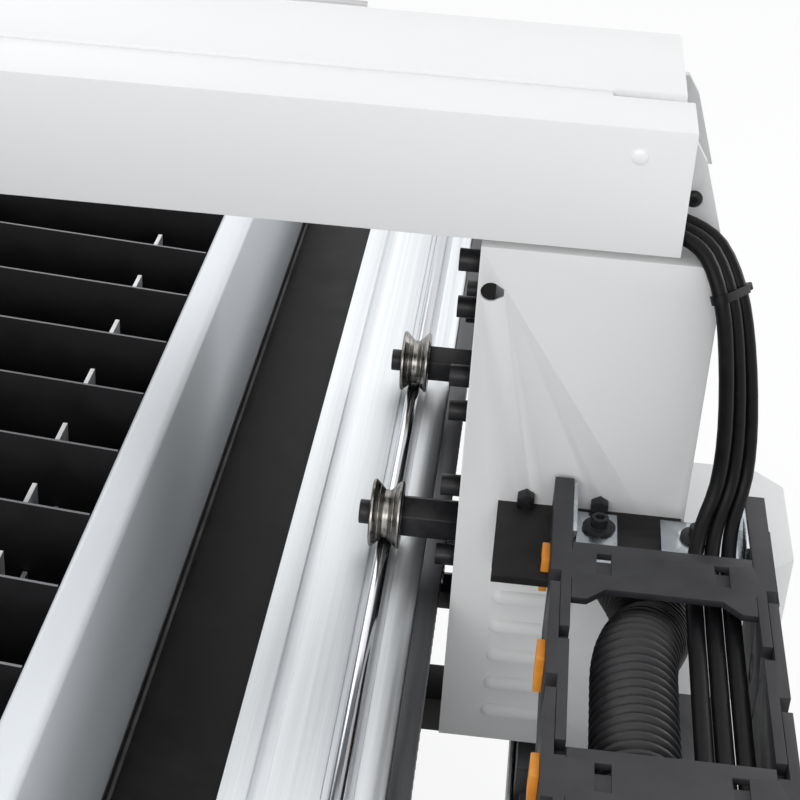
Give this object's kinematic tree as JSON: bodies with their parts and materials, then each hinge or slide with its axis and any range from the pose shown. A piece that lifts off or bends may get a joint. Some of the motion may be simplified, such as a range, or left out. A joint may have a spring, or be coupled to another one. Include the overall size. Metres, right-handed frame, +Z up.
{
  "type": "cnc plasma table",
  "caption": "Free-standing gantry cutting table: slat bed on legs, rod rails with grooved wheels, covered drive ends, cable chain and a torch that lifts and traverses.",
  "frame": {"origin": "on the floor under the middle of the table", "axes": "+Z up, +X along the gantry beam towards the chain side, +Y along the rails away from the chain"},
  "size_m": [2.1108, 1.64, 1.216],
  "materials": {
    "white_paint": "satin powder coat",
    "black_paint": "matt powder coat",
    "black_steel": "black oxide",
    "plain_steel": "hot rolled, scorched",
    "bright_steel": "ground",
    "zinc_plate": "zinc plated",
    "aluminium": "drawn satin",
    "motor_black": "black paint",
    "chain_plastic": "moulded",
    "cable_black": "matt",
    "grey_plastic": "moulded",
    "rubber": "matt"
  },
  "bodies": {
    "table": {"front_leg_frame": "white_paint", "rear_leg_frame": "white_paint", "side_beams": "black_paint", "stretchers": "white_paint", "levelling_feet": "black_steel", "slag_tray": "black_paint", "side_guards": "white_paint", "end_guards": "white_paint", "combs": "plain_steel", "slats": "plain_steel", "rails": "aluminium", "rail_rods": "bright_steel", "racks": "black_steel", "end_stops": "rubber", "chain_tray": "white_paint", "tray_arms": "black_paint", "chain_lower_links": "chain_plastic", "lower_leads": "cable_black", "junction_box": "grey_plastic", "junction_lid": "grey_plastic"},
    "gantry": {"left_end_plate": "black_paint", "right_end_plate": "black_paint", "end_frames": "white_paint", "left_end_cover": "white_paint", "right_end_cover": "white_paint", "motor_covers": "white_paint", "drive_motors": "motor_black", "beam_tube": "white_paint", "cable_duct": "white_paint", "wheel_standoffs": "black_steel", "wheel_bolts": "black_steel", "plate_screws": "black_steel", "chain_bracket": "black_paint", "chain_angles": "zinc_plate", "bracket_fasteners": "black_steel", "chain_end_link": "chain_plastic", "chain_upper_links": "chain_plastic", "upper_leads": "cable_black", "hose_gland": "cable_black", "cable_bundle": "cable_black", "cross_rails": "bright_steel", "cross_rack": "black_steel"},
    "chain_bend": {"chain_bend_links": "chain_plastic", "bend_leads": "cable_black"},
    "left_pinion": {"left_pinion": "bright_steel"},
    "right_pinion": {"right_pinion": "bright_steel"},
    "torch_carriage": {"torch_carriage": "aluminium", "carriage_blocks": "aluminium", "carriage_motors": "motor_black", "lift_rail": "bright_steel"},
    "cross_pinion": {"cross_pinion": "bright_steel"},
    "lift_screw": {"lift_screw": "bright_steel"},
    "lift_slide": {"lift_slide": "aluminium", "torch": "grey_plastic"},
    "left_front_wheel": {"left_front_wheel": "bright_steel"},
    "left_rear_wheel": {"left_rear_wheel": "bright_steel"},
    "left_lower_wheel": {"left_lower_wheel": "bright_steel"},
    "right_front_wheel": {"right_front_wheel": "bright_steel"},
    "right_rear_wheel": {"right_rear_wheel": "bright_steel"},
    "right_lower_wheel": {"right_lower_wheel": "bright_steel"}
  },
  "joints": [
    {"name": "gantry_slide", "type": "slide", "parent": "table", "child": "gantry", "axis": [0, 1, 0], "range_m": [-0.63, 0.575], "deforming": ["chain_upper_links", "upper_leads", "chain_lower_links", "lower_leads"]},
    {"name": "chain_bend_slide", "type": "slide", "parent": "table", "child": "chain_bend", "axis": [0, 1, 0], "range_m": [-0.316, 0.289]},
    {"name": "left_front_wheel_spin", "type": "hinge", "parent": "gantry", "child": "left_front_wheel", "pos_m": [-0.8, 0.0106, 0.75], "axis": [1, 0, 0], "continuous": true},
    {"name": "left_rear_wheel_spin", "type": "hinge", "parent": "gantry", "child": "left_rear_wheel", "pos_m": [-0.8, 0.2051, 0.75], "axis": [1, 0, 0], "continuous": true},
    {"name": "left_lower_wheel_spin", "type": "hinge", "parent": "gantry", "child": "left_lower_wheel", "pos_m": [-0.8, 0.10785, 0.625], "axis": [1, 0, 0], "continuous": true},
    {"name": "left_pinion_spin", "type": "hinge", "parent": "gantry", "child": "left_pinion", "pos_m": [-0.831, 0.0746, 0.682], "axis": [1, 0, 0], "continuous": true},
    {"name": "right_front_wheel_spin", "type": "hinge", "parent": "gantry", "child": "right_front_wheel", "pos_m": [0.8, 0.0106, 0.75], "axis": [1, 0, 0], "continuous": true},
    {"name": "right_rear_wheel_spin", "type": "hinge", "parent": "gantry", "child": "right_rear_wheel", "pos_m": [0.8, 0.2051, 0.75], "axis": [1, 0, 0], "continuous": true},
    {"name": "right_lower_wheel_spin", "type": "hinge", "parent": "gantry", "child": "right_lower_wheel", "pos_m": [0.8, 0.10785, 0.625], "axis": [1, 0, 0], "continuous": true},
    {"name": "right_pinion_spin", "type": "hinge", "parent": "gantry", "child": "right_pinion", "pos_m": [0.831, 0.0746, 0.682], "axis": [1, 0, 0], "continuous": true},
    {"name": "torch_traverse", "type": "slide", "parent": "gantry", "child": "torch_carriage", "axis": [1, 0, 0], "range_m": [-0.61, 0.61]},
    {"name": "cross_pinion_spin", "type": "hinge", "parent": "torch_carriage", "child": "cross_pinion", "pos_m": [-0.105, 0.1326, 0.986], "axis": [0, 1, 0], "continuous": true},
    {"name": "torch_lift", "type": "slide", "parent": "torch_carriage", "child": "lift_slide", "axis": [0, 0, 1], "range_m": [-0.055, 0.05]},
    {"name": "lift_screw_spin", "type": "hinge", "parent": "torch_carriage", "child": "lift_screw", "pos_m": [0.062, 0.1826, 1.05], "axis": [0, 0, 1], "continuous": true}
  ],
  "couplings": [
    {"joint": "chain_bend_slide", "follows": "gantry_slide", "ratio": 0.5},
    {"joint": "left_front_wheel_spin", "follows": "gantry_slide", "rad_per_m": -57.274},
    {"joint": "left_rear_wheel_spin", "follows": "gantry_slide", "rad_per_m": -57.274},
    {"joint": "left_lower_wheel_spin", "follows": "gantry_slide", "rad_per_m": 57.274},
    {"joint": "left_pinion_spin", "follows": "gantry_slide", "rad_per_m": 50},
    {"joint": "right_front_wheel_spin", "follows": "gantry_slide", "rad_per_m": -57.274},
    {"joint": "right_rear_wheel_spin", "follows": "gantry_slide", "rad_per_m": -57.274},
    {"joint": "right_lower_wheel_spin", "follows": "gantry_slide", "rad_per_m": 57.274},
    {"joint": "right_pinion_spin", "follows": "gantry_slide", "rad_per_m": 50},
    {"joint": "cross_pinion_spin", "follows": "torch_traverse", "rad_per_m": -83.333},
    {"joint": "lift_screw_spin", "follows": "torch_lift", "rad_per_m": -1256.6}
  ]
}
